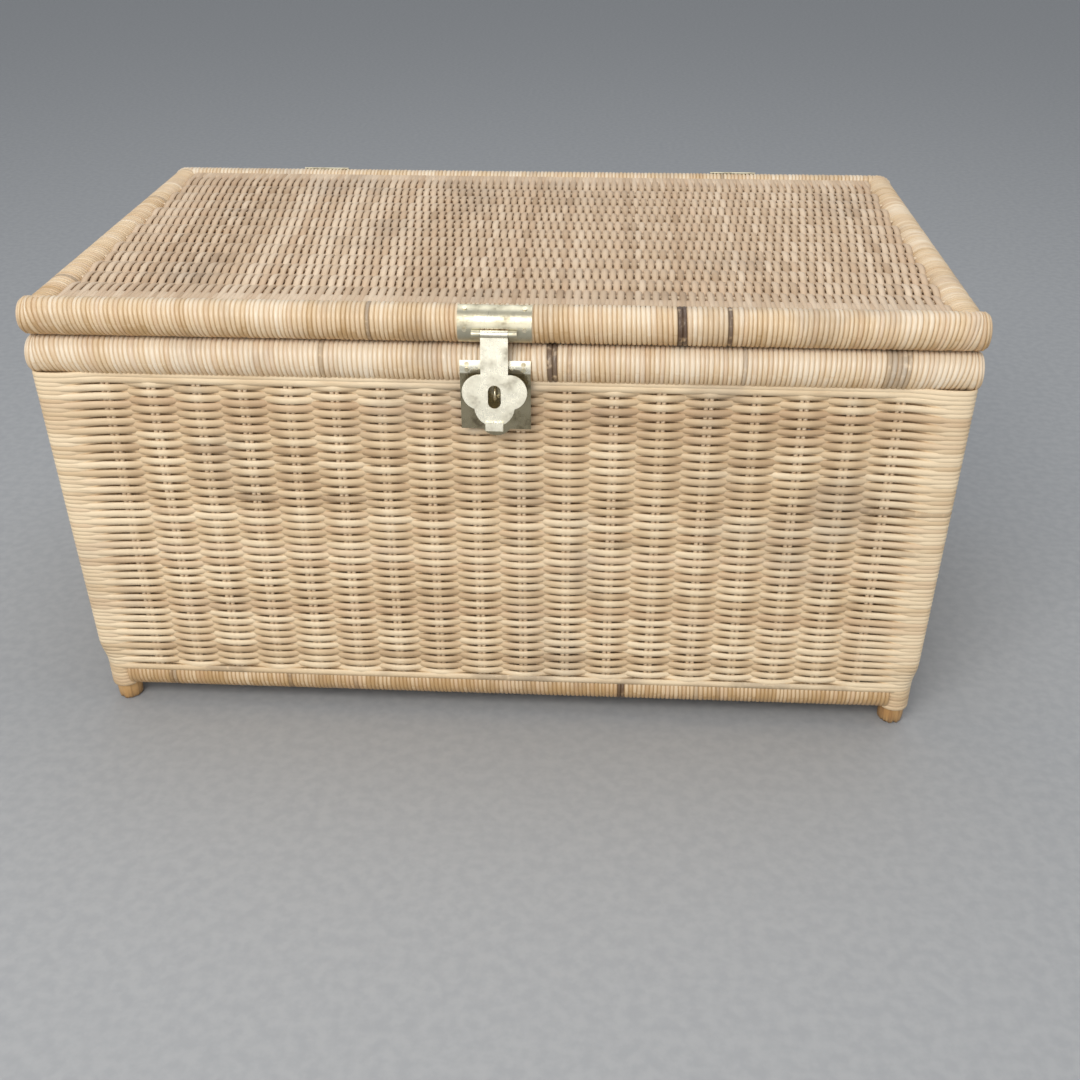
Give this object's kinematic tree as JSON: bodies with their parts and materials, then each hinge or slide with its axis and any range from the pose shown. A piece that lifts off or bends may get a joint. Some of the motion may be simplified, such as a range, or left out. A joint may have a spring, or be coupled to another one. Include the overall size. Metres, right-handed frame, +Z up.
{
  "type": "woven rattan trunk with lid",
  "caption": "Rectangular woven rattan trunk with wound pole rails, pole feet, a rear-hinged flat woven lid and a brass hasp that hangs over a staple.",
  "frame": {"origin": "middle of the trunk's plan at floor level, under the middle of the four feet", "axes": "+X to the right seen from the front, +Y to the rear where the lid hinges, +Z up"},
  "size_m": [0.813, 0.4916, 0.4269],
  "materials": {
    "bare_pole": "satin",
    "cane_winding": "satin",
    "cane_weave": "matte",
    "lid_weave": "matte",
    "reed_stake": "matte",
    "brass_sheet": "satin",
    "brass_wire": "satin"
  },
  "bodies": {
    "trunk": {"corner_post_front_left": "bare_pole", "corner_post_front_right": "bare_pole", "corner_post_rear_left": "bare_pole", "corner_post_rear_right": "bare_pole", "rim_pole_front": "bare_pole", "rim_winding_front": "cane_winding", "bottom_pole_front": "bare_pole", "bottom_winding_front": "cane_winding", "stakes_front": "reed_stake", "woven_wall_front": "cane_weave", "rim_pole_rear": "bare_pole", "rim_winding_rear": "cane_winding", "bottom_pole_rear": "bare_pole", "bottom_winding_rear": "cane_winding", "stakes_rear": "reed_stake", "woven_wall_rear": "cane_weave", "rim_pole_left": "bare_pole", "rim_winding_left": "cane_winding", "bottom_pole_left": "bare_pole", "bottom_winding_left": "cane_winding", "stakes_left": "reed_stake", "woven_wall_left": "cane_weave", "rim_pole_right": "bare_pole", "rim_winding_right": "cane_winding", "bottom_pole_right": "bare_pole", "bottom_winding_right": "cane_winding", "stakes_right": "reed_stake", "woven_wall_right": "cane_weave", "floor_stakes": "reed_stake", "woven_floor": "cane_weave", "floor_cross_bars": "bare_pole", "hinge_rim_leaf_left": "brass_sheet", "hinge_pin_left": "brass_wire", "hinge_rim_leaf_right": "brass_sheet", "hinge_pin_right": "brass_wire", "hinge_rim_nails": "brass_wire", "hasp_back_plate": "brass_sheet", "hasp_staple": "brass_wire", "hasp_back_plate_nails": "brass_wire"},
    "lid": {"lid_pole_front": "bare_pole", "lid_winding_front": "cane_winding", "lid_pole_rear": "bare_pole", "lid_winding_rear": "cane_winding", "lid_pole_left": "bare_pole", "lid_winding_left": "cane_winding", "lid_pole_right": "bare_pole", "lid_winding_right": "cane_winding", "hinge_lid_leaf_left": "brass_sheet", "hinge_lid_leaf_right": "brass_sheet", "lid_stakes": "reed_stake", "woven_lid_panel": "lid_weave", "hinge_lid_nails": "brass_wire", "hasp_lid_plate": "brass_sheet", "hasp_hinge_pin": "brass_wire", "hasp_lid_plate_nails": "brass_wire"},
    "hasp": {"hasp_strap": "brass_sheet"}
  },
  "joints": [
    {"name": "lid_hinge", "type": "hinge", "parent": "trunk", "child": "lid", "pos_m": [0, 0.234, 0.39275], "axis": [-1, 0, 0], "range_deg": [0, 104.5]},
    {"name": "hasp_hinge", "type": "hinge", "parent": "lid", "child": "hasp", "pos_m": [0, -0.23379, 0.40737], "axis": [-1, 0, 0], "range_deg": [-9.3, 170]}
  ]
}
